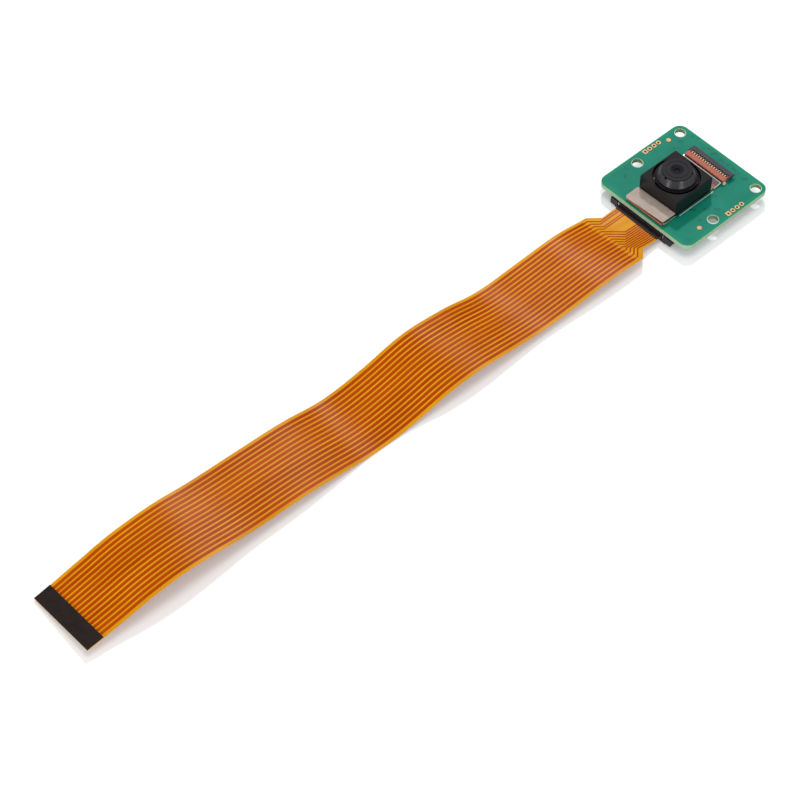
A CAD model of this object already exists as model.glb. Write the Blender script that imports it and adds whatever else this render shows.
import math

import bpy
from mathutils import Matrix, Quaternion, Vector


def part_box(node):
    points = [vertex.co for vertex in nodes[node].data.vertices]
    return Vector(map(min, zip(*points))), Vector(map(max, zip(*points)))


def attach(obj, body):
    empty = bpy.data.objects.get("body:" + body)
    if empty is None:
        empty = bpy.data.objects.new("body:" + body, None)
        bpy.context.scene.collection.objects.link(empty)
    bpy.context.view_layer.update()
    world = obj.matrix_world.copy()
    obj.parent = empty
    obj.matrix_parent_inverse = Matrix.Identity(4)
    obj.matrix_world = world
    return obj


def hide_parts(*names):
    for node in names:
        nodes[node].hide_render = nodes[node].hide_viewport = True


# Looks of the camera module: its solids come from the frame, and this script adds the finishes,
# the flat cable, the print on the board and the fine detail. Lengths are in metres.
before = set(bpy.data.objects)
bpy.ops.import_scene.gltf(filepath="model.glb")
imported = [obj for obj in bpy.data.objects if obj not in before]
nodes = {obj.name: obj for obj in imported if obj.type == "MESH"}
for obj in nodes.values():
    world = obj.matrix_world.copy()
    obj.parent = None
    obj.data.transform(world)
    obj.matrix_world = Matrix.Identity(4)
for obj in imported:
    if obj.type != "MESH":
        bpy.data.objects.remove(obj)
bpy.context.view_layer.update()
MM = 0.001

# Camera, fitted to the board's corners, holes and pads in the photograph
VIEW_AZIMUTH = 47.326
VIEW_ELEVATION = 51.221
VIEW_ROLL = 0.013
VIEW_DISTANCE = 0.534066
VIEW_TARGET = Vector((0.002225, -0.079455, 0.003))
LENS = 127.24
SENSOR = 36.0


def place_camera():
    """The camera looks from its azimuth and elevation at the target, with a little roll."""
    azimuth, elevation = math.radians(VIEW_AZIMUTH), math.radians(VIEW_ELEVATION)
    back = Vector((
        math.sin(azimuth) * math.cos(elevation),
        -math.cos(azimuth) * math.cos(elevation),
        math.sin(elevation),
    ))
    data = bpy.data.cameras.new("camera")
    data.lens = LENS
    data.sensor_width = SENSOR
    data.clip_start = 0.01
    data.clip_end = 20.0
    camera = bpy.data.objects.new("camera", data)
    bpy.context.scene.collection.objects.link(camera)
    camera.rotation_mode = "QUATERNION"
    turn = Quaternion(back, math.radians(VIEW_ROLL))
    camera.rotation_quaternion = turn @ (-back).to_track_quat("-Z", "Y")
    camera.location = VIEW_TARGET + back * VIEW_DISTANCE
    bpy.context.scene.camera = camera


place_camera()


# Finishes

def rgb(red, green, blue):
    """Linear colour with alpha from screen values of 0 to 255."""
    def linear(value):
        share = value / 255
        return share / 12.92 if share <= 0.04045 else ((share + 0.055) / 1.055) ** 2.4
    return (linear(red), linear(green), linear(blue), 1.0)


class Finish:
    """A material under construction: a Principled shader and the nodes that feed it."""

    def __init__(self, name, colour, roughness, metallic=0.0, **sockets):
        self.material = bpy.data.materials.new(name)
        self.material.use_nodes = True
        self.tree = self.material.node_tree
        self.shader = self.tree.nodes["Principled BSDF"]
        self.shader.inputs["Base Color"].default_value = colour
        self.shader.inputs["Roughness"].default_value = roughness
        self.shader.inputs["Metallic"].default_value = metallic
        for socket, value in sockets.items():
            self.shader.inputs[socket.replace("_", " ")].default_value = value
        self.where = self.node("ShaderNodeTexCoord").outputs["Object"]
        self.height = None

    def node(self, kind, inputs=None, **settings):
        made = self.tree.nodes.new(kind)
        for key, value in settings.items():
            setattr(made, key, value)
        for key, value in (inputs or {}).items():
            socket = made.inputs[key]
            if isinstance(value, bpy.types.NodeSocket):
                self.tree.links.new(value, socket)
            else:
                socket.default_value = value
        return made

    def join(self, output, name):
        self.tree.links.new(output, self.shader.inputs[name])

    def noise(self, scale, detail=3.0, stretch=None):
        where = self.where
        if stretch:
            where = self.node("ShaderNodeMapping", {"Vector": where, "Scale": stretch}).outputs["Vector"]
        made = self.node("ShaderNodeTexNoise", {"Vector": where, "Scale": scale, "Detail": detail})
        return made.outputs["Fac"]

    def remap(self, value, low, high, to_low=0.0, to_high=1.0):
        made = self.node("ShaderNodeMapRange", {
            "Value": value, "From Min": low, "From Max": high, "To Min": to_low, "To Max": to_high,
        })
        return made.outputs["Result"]

    def drift(self, scale):
        """Soft noise, spread to run from nought to one."""
        return self.remap(self.noise(scale), 0.3, 0.7)

    def wave(self, scale, distortion, direction):
        """Bands that follow each other along one axis."""
        made = self.node("ShaderNodeTexWave", {
            "Vector": self.where, "Scale": scale, "Distortion": distortion,
        }, bands_direction=direction)
        return made.outputs["Fac"]

    def uprightness(self):
        """How upright the normal is: one on level faces, nought on upright walls."""
        normal = self.node("ShaderNodeTexCoord").outputs["Normal"]
        facing = self.node("ShaderNodeSeparateXYZ", {"Vector": normal})
        return self.maths("ABSOLUTE", facing.outputs["Z"])

    def walls(self, limit):
        """One on walls, whose normals are less upright than the limit, nought on other faces."""
        return self.maths("LESS_THAN", self.uprightness(), limit)

    def maths(self, operation, first, second=0.0):
        return self.node("ShaderNodeMath", {0: first, 1: second}, operation=operation).outputs[0]

    def mix(self, share, first, second):
        made = self.node("ShaderNodeMix", data_type="RGBA")
        for index, value in ((0, share), (6, first), (7, second)):
            if isinstance(value, bpy.types.NodeSocket):
                self.tree.links.new(value, made.inputs[index])
            else:
                made.inputs[index].default_value = value
        return made.outputs[2]

    def colour(self, output):
        self.join(output, "Base Color")

    def vary(self, first, second, scale, stretch=None):
        """Base colour that drifts between two tones."""
        share = self.remap(self.noise(scale, stretch=stretch), 0.35, 0.65)
        self.colour(self.mix(share, first, second))
        return self

    def polish(self, low, high, scale):
        """Roughness that drifts between two values."""
        self.join(self.remap(self.noise(scale), 0.3, 0.7, low, high), "Roughness")
        return self

    def bump(self, height, strength, distance):
        made = self.node("ShaderNodeBump", {"Strength": strength, "Distance": distance, "Height": height})
        self.join(made.outputs["Normal"], "Normal")
        return self

    def grain(self, scale, strength, distance):
        """Fine noise as relief."""
        return self.bump(self.noise(scale, detail=4.0), strength, distance)


def dress(name, finish):
    """Gives a node of the frame its finish."""
    mesh = nodes[name].data
    mesh.materials.clear()
    mesh.materials.append(finish.material)


def new_object(name, verts, faces, finish, body="camera_board", slot=None):
    """A piece that this script adds: it rides on a body and may share a finish slot."""
    mesh = bpy.data.meshes.new(name)
    mesh.from_pydata(verts, [], faces)
    mesh.validate()
    mesh.update()
    mesh.materials.append(finish.material)
    made = bpy.data.objects.new(name, mesh)
    bpy.context.scene.collection.objects.link(made)
    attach(made, body)
    return made


# Flat cable: its line is the route below, out of the connector's mouth, as distance and height.
# It is turned a little about the mouth, and it rolls about its own line.
CABLE_MOUTH = Vector((0.0, -0.01217, 0.0))
CABLE_YAW = math.radians(-0.87)
CABLE_WIDTH = 0.016
NECK_WIDTH = 0.0115
NECK_END = 0.00491
SHOULDER = 0.0024
FILM = 0.00015
STIFFENER = 0.00015
FAR_STIFFENER_LENGTH = 0.00375
FAR_FINGER_LENGTH = 0.0035
FAR_FINGER_HALF = 0.000325
FINGER = 0.000035
CABLE_ROUTE = [
    (-0.00344, 0.00120),
    (0.00496, 0.00120),
    (0.01516, 0.00250),
    (0.02616, 0.00170),
    (0.03666, 0.00115),
    (0.04716, 0.00320),
    (0.05716, 0.00375),
    (0.06716, 0.00120),
    (0.07716, 0.00005),
    (0.08716, 0.00190),
    (0.09766, 0.00260),
    (0.10866, 0.00285),
    (0.11866, 0.00435),
    (0.12866, 0.00420),
    (0.13816, 0.00215),
    (0.14556, 0.00100),
]
# Roll of the cable in degrees, its +X edge up, by distance out of the mouth
CABLE_ROLL = [
    (-0.00344, 0.0), (0.0008, 0.0), (0.0078, 4.5), (0.0176, 1.2), (0.0275, 1.0), (0.0373, 1.9),
    (0.0472, -1.5), (0.0570, -3.6), (0.0668, -2.5), (0.0767, -1.9), (0.0865, -3.3), (0.0964, -2.1),
    (0.1062, -2.5), (0.1160, -1.7), (0.1259, 0.5), (0.1357, 2.1), (0.1456, 4.3),
]


def smooth_between(table, where):
    """Value of a table of (place, value) at a place, easing from row to row."""
    if where <= table[0][0]:
        return table[0][1]
    for (x0, y0), (x1, y1) in zip(table, table[1:]):
        if where <= x1:
            share = (where - x0) / (x1 - x0)
            share = share * share * (3 - 2 * share)
            return y0 + (y1 - y0) * share
    return table[-1][1]


def cable_points():
    """The route's control points in the frame."""
    turn = Matrix.Rotation(CABLE_YAW, 3, "Z")
    return [CABLE_MOUTH + turn @ Vector((0, -out, height)) for out, height in CABLE_ROUTE]


def cable_curve():
    curve = bpy.data.curves.new("cable_line", "CURVE")
    curve.dimensions = "3D"
    curve.resolution_u = 24
    spline = curve.splines.new("NURBS")
    points = cable_points()
    spline.points.add(len(points) - 1)
    for made, point in zip(spline.points, points):
        made.co = (*point, 1.0)
    spline.order_u = 3
    spline.use_endpoint_u = True
    made = bpy.data.objects.new("cable_line", curve)
    bpy.context.scene.collection.objects.link(made)
    bpy.context.view_layer.update()
    mesh = bpy.data.meshes.new_from_object(made)
    line = [Vector(v.co) for v in mesh.vertices]
    bpy.data.objects.remove(made)
    return line


class Ribbon:
    """The cable's surface: a point for each length along it, place across it and height over its middle."""

    def __init__(self, line):
        self.line = line
        self.at = [0.0]
        for a, b in zip(line, line[1:]):
            self.at.append(self.at[-1] + (b - a).length)
        self.length = self.at[-1]
        self.across = Matrix.Rotation(CABLE_YAW, 3, "Z") @ Vector((1, 0, 0))

    def frame_at(self, along):
        index = 0
        while index < len(self.at) - 2 and self.at[index + 1] < along:
            index += 1
        a, b = self.line[index], self.line[index + 1]
        run = (along - self.at[index]) / (self.at[index + 1] - self.at[index])
        point = a.lerp(b, run)
        before = self.line[max(index - 1, 0)]
        after = self.line[min(index + 2, len(self.line) - 1)]
        way = (b - before).normalized().lerp((after - a).normalized(), run).normalized()
        up = way.cross(self.across).normalized()
        out = (CABLE_MOUTH - point).length if point.y < CABLE_MOUTH.y else -(CABLE_MOUTH - point).length
        roll = math.radians(smooth_between(CABLE_ROLL, out))
        side = self.across * math.cos(roll) + up * math.sin(roll)
        return point, side, up * math.cos(roll) - self.across * math.sin(roll)

    def point(self, along, across, height):
        middle, side, up = self.frame_at(along)
        return middle + side * across + up * height


ribbon = Ribbon(cable_curve())
MOUTH_AT = -CABLE_ROUTE[0][0]
STEP = 0.0008
FILM_COLUMNS = 16
MITRE_LIMIT = 0.5
TOUCHING = 1e-9


def bar_faces(count):
    """Faces of a closed bar. Each of its sections is low left, low right, high left, high right."""
    faces = []
    for a in range(0, 4 * count - 4, 4):
        b = a + 4
        faces += [
            (a, b, b + 1, a + 1),
            (a + 2, a + 3, b + 3, b + 2),
            (a, a + 2, b + 2, b),
            (a + 1, b + 1, b + 3, a + 3),
        ]
    end = 4 * count - 4
    return faces + [(0, 1, 3, 2), (end, end + 2, end + 3, end + 1)]


def mitre(points, index, half):
    """Step from a point of a path to its left edge, along the corner's bisector."""
    before = points[max(index - 1, 0)]
    here = points[index]
    after = points[min(index + 1, len(points) - 1)]
    runs = [Vector((b[0] - a[0], b[1] - a[1])) for a, b in ((before, here), (here, after))]
    ways = [run.normalized() for run in runs if run.length > TOUCHING]
    way = (ways[0] + ways[-1]).normalized()
    reach = half / max(way.dot(ways[0]), MITRE_LIMIT)
    return -way.y * reach, way.x * reach


def strip(edges, low, high):
    """Verts and faces of a closed strip on the ribbon. Each edge is its (along, across) left and right."""
    verts = []
    for (left_at, left), (right_at, right) in edges:
        for height in (low, high):
            verts.append(ribbon.point(left_at, left, height))
            verts.append(ribbon.point(right_at, right, height))
    return verts, bar_faces(len(edges))


def join_shapes(shapes):
    """Several shapes as the verts and faces of one."""
    verts, faces = [], []
    for more_verts, more_faces in shapes:
        start = len(verts)
        verts += more_verts
        faces += [tuple(i + start for i in face) for face in more_faces]
    return verts, faces


def path_edges(path):
    """Left and right edges of a path of (along, across, half width) points, with mitred corners."""
    plan = [(along, across) for along, across, _ in path]
    corners = []
    for i, (along, across, half) in enumerate(path):
        step, aside = mitre(plan, i, half)
        corners.append(((along - step, across - aside), (along + step, across + aside)))
    edges = [corners[0]]
    for (l0, r0), (l1, r1) in zip(corners, corners[1:]):
        count = max(1, math.ceil(abs(l1[0] - l0[0]) / STEP))
        for k in range(1, count + 1):
            share = k / count
            edges.append(tuple(
                (a[0] + (b[0] - a[0]) * share, a[1] + (b[1] - a[1]) * share)
                for a, b in ((l0, l1), (r0, r1))
            ))
    return edges


def film_half(along):
    """Half the cable's width: narrow neck, slanting shoulders, full width."""
    out = along - MOUTH_AT
    if out <= NECK_END:
        return NECK_WIDTH / 2
    if out >= NECK_END + SHOULDER:
        return CABLE_WIDTH / 2
    return NECK_WIDTH / 2 + (CABLE_WIDTH - NECK_WIDTH) / 2 * (out - NECK_END) / SHOULDER


def film_shape():
    """Closed film: rows along the cable, each divided across so that it can twist smoothly."""
    stops = {0.0, MOUTH_AT + NECK_END, MOUTH_AT + NECK_END + SHOULDER, ribbon.length}
    count = math.ceil(ribbon.length / STEP)
    stops |= {ribbon.length * i / count for i in range(count)}
    verts, faces = [], []
    size = 2 * (FILM_COLUMNS + 1)
    for along in sorted(stops):
        half = film_half(along)
        for height in (-FILM / 2, FILM / 2):
            for column in range(FILM_COLUMNS + 1):
                verts.append(ribbon.point(along, half * (2 * column / FILM_COLUMNS - 1), height))
    top = FILM_COLUMNS + 1
    for row in range(len(stops) - 1):
        a, b = row * size, (row + 1) * size
        for column in range(FILM_COLUMNS):
            faces.append((a + column, b + column, b + column + 1, a + column + 1))
            faces.append((a + top + column, a + top + column + 1, b + top + column + 1, b + top + column))
        faces.append((a, a + top, b + top, b))
        faces.append((a + FILM_COLUMNS, b + FILM_COLUMNS, b + size - 1, a + size - 1))
    last = (len(stops) - 1) * size
    for column in range(FILM_COLUMNS):
        faces.append((column, column + 1, top + column + 1, top + column))
        faces.append((last + column, last + top + column, last + top + column + 1, last + column + 1))
    return verts, faces


# Flat cable finishes
film_finish = Finish("amber_film", rgb(224, 152, 14), 0.3, Specular_IOR_Level=0.03)
film_finish.vary(rgb(226, 156, 16), rgb(212, 140, 10), 400, stretch=(1, 0.15, 1)).grain(5000, 0.06, 0.00002)
trace_finish = Finish("copper_under_film", rgb(181, 70, 3), 0.3, Specular_IOR_Level=0.03)
trace_finish.vary(rgb(184, 73, 4), rgb(169, 60, 1), 300, stretch=(1, 0.1, 1)).grain(5000, 0.06, 0.00002)
stiffener_finish = Finish("dark_stiffener", rgb(36, 28, 25), 0.45, Specular_IOR_Level=0.08)
stiffener_finish.vary(rgb(38, 29, 26), rgb(30, 23, 21), 900).grain(9000, 0.15, 0.00003)
tin_finish = Finish("tin_plating", rgb(214, 212, 206), 0.32, 1.0)
tin_finish.vary(rgb(220, 218, 212), rgb(196, 192, 186), 2500).grain(7000, 0.1, 0.00001)
gold_finish = Finish("gold_plating", rgb(180, 151, 115), 0.62, 0.9)
gold_finish.vary(rgb(184, 155, 119), rgb(166, 138, 102), 2500).grain(7000, 0.1, 0.00001)

TRACE_COUNT = 15
TRACE_PITCH = 0.001
TRACE_HALF = 0.00032
NECK_TRACE_HALF = 0.00015
TRACE_RISE = 0.000012
CONTACT_PITCH = 0.0005
LEFT_NECK = (-10.5, -9.5, -7.5, -6.5)
RIGHT_NECK = tuple(0.5 + i for i in range(11))
SHOULDER_SLOPE = SHOULDER / ((CABLE_WIDTH - NECK_WIDTH) / 2)
TRACE_WIDE_START = 0.0078
TRACE_TUCK = 0.001
FLARE_START = 0.0006
FLARE_END = 0.0012
FAR_STEPS = 4


def trace_path(index):
    """One trace: fine in the neck, a slanting run beside the shoulder, then wide to the far end."""
    neck = (LEFT_NECK + RIGHT_NECK)[index] * CONTACT_PITCH
    wide = (index - (TRACE_COUNT - 1) / 2) * TRACE_PITCH
    slant = abs(wide - neck) * SHOULDER_SLOPE
    end = MOUTH_AT + TRACE_WIDE_START
    bend = end - slant
    far = ribbon.length - FAR_STIFFENER_LENGTH / 2
    return [
        (MOUTH_AT - TRACE_TUCK, neck, NECK_TRACE_HALF),
        (bend, neck, NECK_TRACE_HALF),
        (end, wide, NECK_TRACE_HALF),
        (end + FLARE_START, wide, NECK_TRACE_HALF),
        (end + FLARE_END, wide, TRACE_HALF),
        (far, wide, TRACE_HALF),
    ]


def build_cable():
    """Film, traces, far stiffener and far contacts, which take the place of the plain solids."""
    film = new_object("cable_film", *film_shape(), film_finish, slot="cable_film")
    rise = FILM / 2 + TRACE_RISE
    shapes = [strip(path_edges(trace_path(i)), -rise, rise) for i in range(TRACE_COUNT)]
    traces = new_object("cable_traces", *join_shapes(shapes), trace_finish, slot="cable_film")
    end = ribbon.length
    half = CABLE_WIDTH / 2
    start = end - FAR_STIFFENER_LENGTH
    rows = [start + FAR_STIFFENER_LENGTH * i / FAR_STEPS for i in range(FAR_STEPS + 1)]
    edges = [((row, -half), (row, half)) for row in rows]
    shape = strip(edges, FILM / 2, FILM / 2 + STIFFENER)
    far = new_object("cable_far_stiffener", *shape, stiffener_finish, slot="stiffener_dark")
    shapes = []
    for i in range(TRACE_COUNT):
        middle = (i - (TRACE_COUNT - 1) / 2) * TRACE_PITCH
        finger = [(end - FAR_FINGER_LENGTH, middle, FAR_FINGER_HALF), (end, middle, FAR_FINGER_HALF)]
        shapes.append(strip(path_edges(finger), -FILM / 2 - FINGER, -FILM / 2))
    fingers = new_object("cable_far_contacts", *join_shapes(shapes), gold_finish, slot="gold_plating")
    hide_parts("flat_cable")
    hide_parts("cable_stiffener_far")
    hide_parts("cable_contacts_far")
    [tuple(p) for p in ribbon.line]


build_cable()


# Board: solder mask on its two faces, bare glass-fibre laminate at its edges and in its holes.
# The mask grows lighter within EDGE_GLOW of an edge. The camera's flex stays copper-coloured for
# FLEX_BARE behind the housing. Its cut edges are CUT_EDGE wide, the last TAIL_STOP before the connector.
BOARD_CENTRE_Y = 0.00017
BOARD_TOP = 0.003
BOARD_HALF_X = 0.0125
BOARD_HALF_Y = 0.012
EDGE_GLOW = 0.0011
FLEX_BARE = 0.0015
CUT_EDGE = 0.00011
TAIL_STOP = 0.00025


def board_finish():
    made = Finish("board_mask", rgb(34, 134, 108), 0.45, Specular_IOR_Level=0.06)
    flat = made.maths("GREATER_THAN", made.uprightness(), 0.5)
    place = made.node("ShaderNodeSeparateXYZ", {"Vector": made.where})
    from_x = made.maths("SUBTRACT", made.maths("ABSOLUTE", place.outputs["X"]), BOARD_HALF_X - EDGE_GLOW)
    across = made.maths("SUBTRACT", place.outputs["Y"], BOARD_CENTRE_Y)
    from_y = made.maths("SUBTRACT", made.maths("ABSOLUTE", across), BOARD_HALF_Y - EDGE_GLOW)
    glow = made.remap(made.maths("MAXIMUM", from_x, from_y), 0.0, EDGE_GLOW, 0.0, 0.55)
    mask = made.mix(made.drift(260), rgb(14, 124, 102), rgb(22, 135, 113))
    mask = made.mix(glow, mask, rgb(24, 152, 102))
    laminate = made.mix(made.wave(900, 1.5, "Z"), rgb(138, 166, 136), rgb(178, 194, 164))
    made.colour(made.mix(flat, laminate, mask))
    made.join(made.maths("SUBTRACT", 0.72, made.maths("MULTIPLY", flat, 0.27)), "Roughness")
    return made.grain(2600, 0.06, 0.00003)


def rose_finish():
    made = Finish("connector_rose", rgb(182, 99, 78), 0.5, Specular_IOR_Level=0.2)
    return made.vary(rgb(185, 102, 81), rgb(172, 89, 70), 1800).grain(9000, 0.12, 0.00002)


def black_finish(name, tone, roughness, specular):
    """Black plastic, a little lighter and rougher in places."""
    light = tuple(value + 5 for value in tone)
    made = Finish(name, rgb(*tone), roughness, Specular_IOR_Level=specular)
    made.vary(rgb(*tone), rgb(*light), 1500)
    return made.polish(roughness - 0.04, roughness + 0.06, 2200).grain(12000, 0.08, 0.00001)


def cover_finish():
    """Matt top, and walls with a sheen that takes the colour of what stands before them."""
    made = Finish("module_cover_black", rgb(14, 13, 16), 0.5, Specular_IOR_Level=0.08)
    made.vary(rgb(13, 12, 15), rgb(18, 17, 20), 1500)
    wall = made.walls(0.5)
    made.join(made.remap(wall, 0.0, 1.0, 0.5, 0.3), "Roughness")
    made.join(made.remap(wall, 0.0, 1.0, 0.08, 0.32), "Specular IOR Level")
    return made.grain(12000, 0.08, 0.00001)


def barrel_finish():
    """Satin face, and a glossy slope with fine rings that catch the light."""
    made = Finish("barrel_black", rgb(18, 17, 21), 0.3, Specular_IOR_Level=0.3)
    slope = made.walls(0.55)
    made.vary(rgb(16, 15, 19), rgb(21, 20, 25), 1500)
    made.join(made.remap(slope, 0.0, 1.0, 0.5, 0.28), "Roughness")
    made.join(made.remap(slope, 0.0, 1.0, 0.1, 0.45), "Specular IOR Level")
    height = made.maths("MULTIPLY", slope, made.wave(1300, 2.5, "Z"))
    return made.bump(height, 0.6, 0.00003)


def strip_finish():
    """Woven tape over the flex: pale, with fine threads in relief."""
    made = Finish("cover_strip", rgb(182, 166, 154), 0.62, Specular_IOR_Level=0.3)
    made.colour(made.mix(made.drift(900), rgb(187, 171, 159), rgb(172, 156, 144)))
    return made.bump(made.wave(3600, 0.6, "X"), 0.12, 0.00001)


def wound_finish():
    """Copper wire, wound turn over turn."""
    made = Finish("coil_wire", rgb(176, 92, 52), 0.3, 0.9)
    turns = made.wave(6000, 0.2, "Z")
    made.colour(made.mix(turns, rgb(150, 72, 38), rgb(206, 120, 74)))
    return made.bump(turns, 0.5, 0.00003)


def flex_look():
    """Camera flex: copper-coloured film, then a dark backing behind the housing, with pale cut edges."""
    made = Finish("flex_film", rgb(160, 92, 74), 0.42, Specular_IOR_Level=0.3)
    place = made.node("ShaderNodeSeparateXYZ", {"Vector": made.where})
    along = place.outputs["Y"]
    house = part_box("module_cover")[1].y
    backed = made.maths("GREATER_THAN", along, house + FLEX_BARE)
    copper = made.mix(made.drift(1500), rgb(168, 96, 76), rgb(150, 82, 62))
    dark = made.mix(made.drift(1500), rgb(84, 74, 78), rgb(70, 61, 65))
    shade = made.mix(backed, copper, dark)
    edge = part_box("sensor_flex_tail")[1].x - CUT_EDGE
    side = made.maths("GREATER_THAN", made.maths("ABSOLUTE", place.outputs["X"]), edge)
    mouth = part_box("sensor_connector_housing")[0].y - TAIL_STOP
    back = made.maths("COMPARE", along, mouth - CUT_EDGE / 2)
    back.node.inputs[2].default_value = CUT_EDGE / 2
    made.colour(made.mix(made.maths("MAXIMUM", side, back), shade, rgb(216, 208, 200)))
    return made


def substrate_finish():
    """Green laminate over a pale lower layer, which shows on the cut edges in front of the housing."""
    made = Finish("substrate", rgb(28, 70, 52), 0.5, Specular_IOR_Level=0.2)
    low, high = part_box("sensor_substrate")
    place = made.node("ShaderNodeSeparateXYZ", {"Vector": made.where})
    lower = made.maths("LESS_THAN", place.outputs["Z"], (low.z + high.z) / 2)
    ahead = made.maths("LESS_THAN", place.outputs["Y"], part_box("module_cover")[0].y)
    green = made.mix(made.drift(1600), rgb(34, 88, 62), rgb(24, 62, 46))
    shade = made.mix(ahead, rgb(20, 26, 24), green)
    made.colour(made.mix(made.maths("MULTIPLY", lower, ahead), shade, rgb(196, 198, 180)))
    return made


def glass_finish(name, tint, see_through, roughness=0.04, specular=0.2):
    return Finish(name, tint, roughness, Specular_IOR_Level=specular, Transmission_Weight=see_through)


def moulded(name, first, second, roughness, specular=0.3):
    """A plain moulded or printed surface between two tones."""
    made = Finish(name, rgb(*first), roughness, Specular_IOR_Level=specular)
    return made.vary(rgb(*first), rgb(*second), 1600).grain(9000, 0.12, 0.00002)


mask_finish = board_finish()
slider_finish = moulded("connector_black", (35, 31, 41), (28, 25, 33), 0.45)
housing_finish = moulded("connector_white", (92, 90, 96), (80, 78, 84), 0.5)
lid_finish = moulded("connector_grey", (66, 61, 72), (56, 51, 62), 0.5, 0.15)
flex_finish = flex_look()
adhesive_finish = moulded("adhesive", (120, 116, 104), (104, 100, 90), 0.8, 0.2)
foam_finish = moulded("foam", (52, 50, 50), (40, 38, 38), 0.9, 0.1)
silicon_finish = moulded("silicon", (60, 66, 84), (46, 50, 70), 0.15, 0.5)
ceramic_finish = moulded("ceramic_tan", (176, 150, 116), (160, 132, 98), 0.55)
package_finish = moulded("chip_black", (34, 34, 36), (42, 42, 44), 0.55, 0.25)
can_finish = moulded("can_steel", (176, 176, 172), (160, 160, 158), 0.35, 0.5)
cover_black = cover_finish()
carrier_black = black_finish("carrier_black", (18, 17, 20), 0.6, 0.06)
barrel_black = barrel_finish()
inner_black = black_finish("inner_black", (14, 14, 16), 0.6, 0.1)
spring_finish = Finish("dark_spring", rgb(34, 29, 27), 0.6, 0.3, Specular_IOR_Level=0.1)
spring_finish.vary(rgb(36, 30, 28), rgb(26, 23, 22), 1800)
magnet_finish = Finish("magnet_nickel", rgb(150, 150, 148), 0.55, 0.8)
magnet_finish.vary(rgb(156, 156, 154), rgb(132, 132, 130), 1200).grain(6000, 0.1, 0.00001)
coated_glass = glass_finish("coated_glass", rgb(18, 15, 40), 0.0, 0.5, 0.05)
clear_glass = glass_finish("lens_glass", rgb(225, 232, 240), 0.9)
filter_glass = glass_finish("filter_glass", rgb(120, 190, 200), 0.7)

for finish, names in (
    (mask_finish, ["circuit_board"]),
    (gold_finish, ["header_pads_left", "header_pads_right", "fiducial_pads", "cable_contacts_near",
                   "sensor_connector_contacts"]),
    (stiffener_finish, ["cable_stiffener_near"]),
    (tin_finish, ["cable_connector_tabs", "cable_connector_contacts", "sensor_connector_tabs"]),
    (housing_finish, ["cable_connector_housing"]),
    (slider_finish, ["cable_connector_slider"]),
    (rose_finish(), ["sensor_connector_housing"]),
    (lid_finish, ["sensor_connector_actuator"]),
    (adhesive_finish, ["adhesive_pad"]),
    (foam_finish, ["foam_pad"]),
    (flex_finish, ["sensor_flex_tail"]),
    (substrate_finish(), ["sensor_substrate"]),
    (strip_finish(), ["flex_cover_strip"]),
    (silicon_finish, ["image_sensor"]),
    (cover_black, ["module_base", "module_cover"]),
    (filter_glass, ["ir_filter"]),
    (spring_finish, ["spring_lower", "spring_upper"]),
    (magnet_finish, ["focus_magnets"]),
    (carrier_black, ["lens_carrier"]),
    (wound_finish(), ["focus_coil"]),
    (barrel_black, ["lens_barrel"]),
    (inner_black, ["lens_spacers", "lens_retainer"]),
    (coated_glass, ["lens_front"]),
    (clear_glass, ["lens_second", "lens_third", "lens_rear"]),
    (ceramic_finish, ["decoupling_capacitors"]),
    (package_finish, ["bias_resistors", "voltage_regulators", "focus_driver_chip"]),
    (can_finish, ["clock_oscillator"]),
):
    for name in names:
        dress(name, finish)


# Print and fine marks on the board. Their plan is in millimetres from its centre.
INK = 0.00001
RING_STEPS = 28
HOLE_STEPS = 48
LEAST_RIM = 0.001
silk_finish = moulded("white_ink", (226, 240, 232), (212, 228, 220), 0.6)
via_finish = moulded("tented_via", (2, 96, 76), (6, 104, 84), 0.4, 0.08)
bare_finish = moulded("bare_laminate", (112, 176, 112), (132, 188, 126), 0.5, 0.1)
rim_finish = moulded("bare_rim", (226, 232, 218), (208, 218, 200), 0.5, 0.2)
dark_gap_finish = moulded("mask_opening", (58, 62, 40), (72, 70, 44), 0.6)


def on_board(x, y, height):
    """A point of the board's plan, at a height over its top."""
    return Vector((x * MM, y * MM + BOARD_CENTRE_Y, BOARD_TOP + height))


def thin_ring(x, y, inner, reach, height, count):
    """Ring lying on the board. Its outer radius is the reach, a function of the way out."""
    verts, faces = [], []
    for i in range(count):
        angle = 2 * math.pi * i / count
        cos, sin = math.cos(angle), math.sin(angle)
        for radius in (inner, reach(Vector((cos, sin)))):
            for level in (0.0, height):
                verts.append(on_board(x + radius * cos, y + radius * sin, level))
        a, b = 4 * i, 4 * ((i + 1) % count)
        faces += [
            (a + 1, a + 3, b + 3, b + 1),
            (a, b, b + 2, a + 2),
            (a + 2, b + 2, b + 3, a + 3),
            (a, a + 1, b + 1, b),
        ]
    return verts, faces


def flat_ring(x, y, inner, outer, count=RING_STEPS):
    """Thin round ring lying on the board."""
    return thin_ring(x, y, inner, lambda way: outer, INK, count)


def crescent(x, y, inner, outer, shift, count=RING_STEPS):
    """Rim left bare where the opening in the mask sits off the hole."""
    def reach(way):
        return max(outer + way.dot(Vector(shift)), inner + LEAST_RIM)
    return thin_ring(x, y, inner, reach, 2 * INK, count)


def flat_line(points, width):
    """Thin printed line along plan points."""
    verts = []
    for i, (x, y) in enumerate(points):
        aside, ahead = mitre(points, i, width / 2)
        for level in (0.0, INK):
            verts.append(on_board(x - aside, y - ahead, level))
            verts.append(on_board(x + aside, y + ahead, level))
    return verts, bar_faces(len(points))


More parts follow.
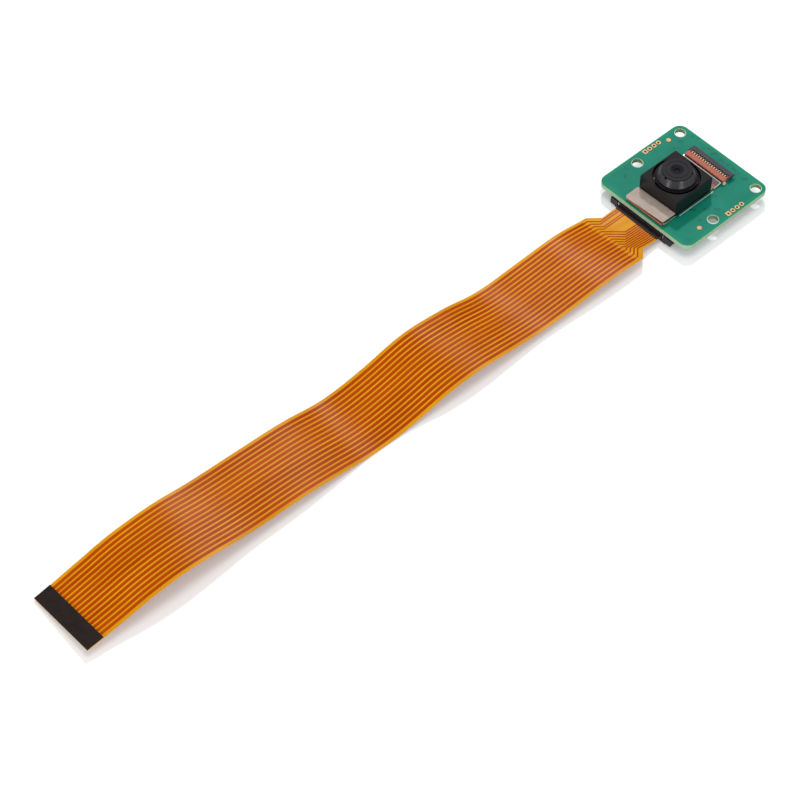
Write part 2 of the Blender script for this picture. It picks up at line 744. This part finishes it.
SILK_WIDTH = 0.15
SILK_LINES = [
    [(5.35, -6.75), (5.35, 2.95)],
    [(-5.6, -4.8), (-5.6, -1.0)],
]
MOUNT_HOLES = [(-10.5, -2.5), (10.5, -2.5), (-10.5, 10.0), (10.5, 10.0)]
HOLE_RADIUS = 1.1
MARGIN_START = 0.02
HOLE_MARGIN = 0.13
RIM_START = 0.01
RIM_MARGIN = 0.1
RIM_SHIFT = (0.07, -0.08)
VIA_INNER = 0.14
VIA_OUTER = 0.3
PAIR_GAP = 0.34
FIDUCIALS = [(-10.65, 6.75), (10.3, -6.2)]
FIDUCIAL_RADIUS = 0.5
FIDUCIAL_GAP = 0.08
PAD_RADIUS = 0.525
PAD_GAP = 0.05
PAD_ROW = 11.55
PAD_ROW_START = 2.12
PAD_PITCH = 1.27
ROUND_PADS = [(x, PAD_ROW_START + i * PAD_PITCH) for x in (-PAD_ROW, PAD_ROW) for i in range(3)]
GAP_SHIFT = (0.07, -0.01)
# Tented vias: place, and the turn of the pair's line in degrees, or None for a single one
VIAS = [
    (-8.6, 8.4, 45), (-8.1, 6.3, 45), (-8.1, 11.2, None), (-6.9, 11.4, None),
    (-4.2, 10.4, None), (-3.4, 11.0, None), (-1.8, 10.7, 45), (0.7, 10.5, 0),
    (2.3, 10.6, None), (4.0, 10.6, 0), (5.4, 10.2, None), (5.2, 9.5, None),
    (7.3, 10.2, 45), (5.9, 8.7, None), (-11.0, -5.2, 20), (-9.6, -7.0, -45),
    (-11.2, -8.4, None), (6.3, 2.2, 45), (7.8, -1.5, 45), (9.2, 0.1, 45),
    (6.0, -3.6, 45), (8.9, -4.6, None),
]


def print_board():
    """Printed lines, the bare margins and rims of the screw holes, vias and openings in the mask."""
    lines = join_shapes([flat_line(points, SILK_WIDTH) for points in SILK_LINES])
    new_object("board_print", *lines, silk_finish)
    start, stop = HOLE_RADIUS + MARGIN_START, HOLE_RADIUS + HOLE_MARGIN
    rims = [flat_ring(x, y, start, stop, HOLE_STEPS) for x, y in MOUNT_HOLES]
    new_object("hole_margins", *join_shapes(rims), bare_finish)
    start, stop = HOLE_RADIUS + RIM_START, HOLE_RADIUS + RIM_MARGIN
    rims = [crescent(x, y, start, stop, RIM_SHIFT, HOLE_STEPS) for x, y in MOUNT_HOLES]
    new_object("hole_rims", *join_shapes(rims), rim_finish)
    dots = []
    for x, y, turn in VIAS:
        shifts = [0.0] if turn is None else [-PAIR_GAP, PAIR_GAP]
        angle = math.radians(turn or 0)
        for shift in shifts:
            aside, ahead = shift * math.cos(angle), shift * math.sin(angle)
            dots.append(flat_ring(x + aside, y + ahead, VIA_INNER, VIA_OUTER))
    new_object("tented_vias", *join_shapes(dots), via_finish)
    stop = FIDUCIAL_RADIUS + FIDUCIAL_GAP
    gaps = [crescent(x, y, FIDUCIAL_RADIUS, stop, GAP_SHIFT) for x, y in FIDUCIALS]
    gaps += [crescent(x, y, PAD_RADIUS, PAD_RADIUS + PAD_GAP, GAP_SHIFT) for x, y in ROUND_PADS]
    new_object("mask_openings", *join_shapes(gaps), dark_gap_finish)


print_board()


# Glue under the leaning cover strip: a wedge on the substrate, thicker towards +X
WEDGE_INSET = 0.00012
WEDGE_FRONT = 0.0006
STRIP_THICKNESS = 0.00022


def glue_wedge():
    """A wedge from the substrate's top to the underside of the strip's high side."""
    strip_low, strip_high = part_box("flex_cover_strip")
    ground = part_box("sensor_substrate")[1].z
    left, right = strip_low.x + 2 * WEDGE_INSET, strip_high.x - WEDGE_INSET
    front, back = strip_low.y + WEDGE_FRONT, strip_high.y - WEDGE_INSET
    high = strip_high.z - STRIP_THICKNESS
    verts = [(left, front, ground), (right, front, ground), (right, back, ground), (left, back, ground)]
    verts += [(right, front, high), (right, back, high)]
    faces = [(0, 3, 2, 1), (0, 1, 4), (3, 5, 2), (1, 2, 5, 4), (0, 4, 5, 3)]
    new_object("strip_glue", verts, faces, glue_finish)


glue_finish = moulded("strip_glue", (40, 96, 66), (28, 74, 54), 0.5, 0.2)
glue_wedge()


# Floor, light and backdrop: white to the camera, to gloss and to glass, and a plain level on the part
FLOOR_SIZE = 6.0
FILL_LEVEL = 0.5
FLOOR_LIFT = 0.2
LIT_SPOT = Vector((0, -0.07, 0))
LAMP_DISTANCE = 1.2
# Lamps: the way they stand in as X, Y and degrees of elevation, their size and their power
LAMPS = [
    ("key", -0.673, 0.74, 46.3, 0.07, 5.0),
    ("left_box", -0.02, -1.0, 5, 0.3, 6.5),
    ("right_box", 0.97, -0.25, 5, 0.3, 4.0),
    ("overhead", -0.5, 0.87, 82, 0.6, 2.9),
]


def seen_by_eye(tree):
    """Camera, glossy and transmission rays together."""
    path = tree.nodes.new("ShaderNodeLightPath")
    total = path.outputs["Is Camera Ray"]
    for name in ("Is Glossy Ray", "Is Transmission Ray"):
        add = tree.nodes.new("ShaderNodeMath")
        add.operation = "MAXIMUM"
        tree.links.new(total, add.inputs[0])
        tree.links.new(path.outputs[name], add.inputs[1])
        total = add.outputs[0]
    return total


def lay_floor():
    """A pale floor that keeps the shadow and looks white."""
    mesh = bpy.data.meshes.new("floor")
    half = FLOOR_SIZE / 2
    corners = [(-half, -half, 0), (half, -half, 0), (half, half, 0), (-half, half, 0)]
    mesh.from_pydata(corners, [], [(0, 1, 2, 3)])
    made = bpy.data.objects.new("floor", mesh)
    bpy.context.scene.collection.objects.link(made)
    finish = Finish("pale_floor", rgb(250, 250, 250), 0.9, Specular_IOR_Level=0.0)
    finish.shader.inputs["Emission Color"].default_value = (1, 1, 1, 1)
    lift = finish.maths("MULTIPLY", seen_by_eye(finish.tree), FLOOR_LIFT)
    finish.join(lift, "Emission Strength")
    mesh.materials.append(finish.material)


def light_world():
    """White to the camera, to gloss and to glass, and an even fill for the rest."""
    world = bpy.data.worlds.new("world")
    bpy.context.scene.world = world
    world.use_nodes = True
    tree = world.node_tree
    shade = tree.nodes["Background"]
    shade.inputs["Color"].default_value = (1, 1, 1, 1)
    level = tree.nodes.new("ShaderNodeMapRange")
    tree.links.new(seen_by_eye(tree), level.inputs["Value"])
    level.inputs["To Min"].default_value = FILL_LEVEL
    level.inputs["To Max"].default_value = 1.0
    tree.links.new(level.outputs["Result"], shade.inputs["Strength"])


def aim(way_x, way_y, elevation):
    """Direction of a lamp, from its way in plan and its elevation in degrees."""
    tilt = math.radians(elevation)
    return Vector((way_x * math.cos(tilt), way_y * math.cos(tilt), math.sin(tilt)))


def lamp(name, way, size, power):
    """A round area lamp that stands off the lit spot and faces it."""
    data = bpy.data.lights.new(name, "AREA")
    data.shape = "DISK"
    data.size = size
    data.energy = power
    made = bpy.data.objects.new(name, data)
    bpy.context.scene.collection.objects.link(made)
    made.location = LIT_SPOT + way.normalized() * LAMP_DISTANCE
    made.rotation_mode = "QUATERNION"
    made.rotation_quaternion = way.to_track_quat("Z", "Y")


lay_floor()
light_world()
for name, way_x, way_y, elevation, size, power in LAMPS:
    lamp(name, aim(way_x, way_y, elevation), size, power)
bpy.context.scene.view_settings.view_transform = "Standard"
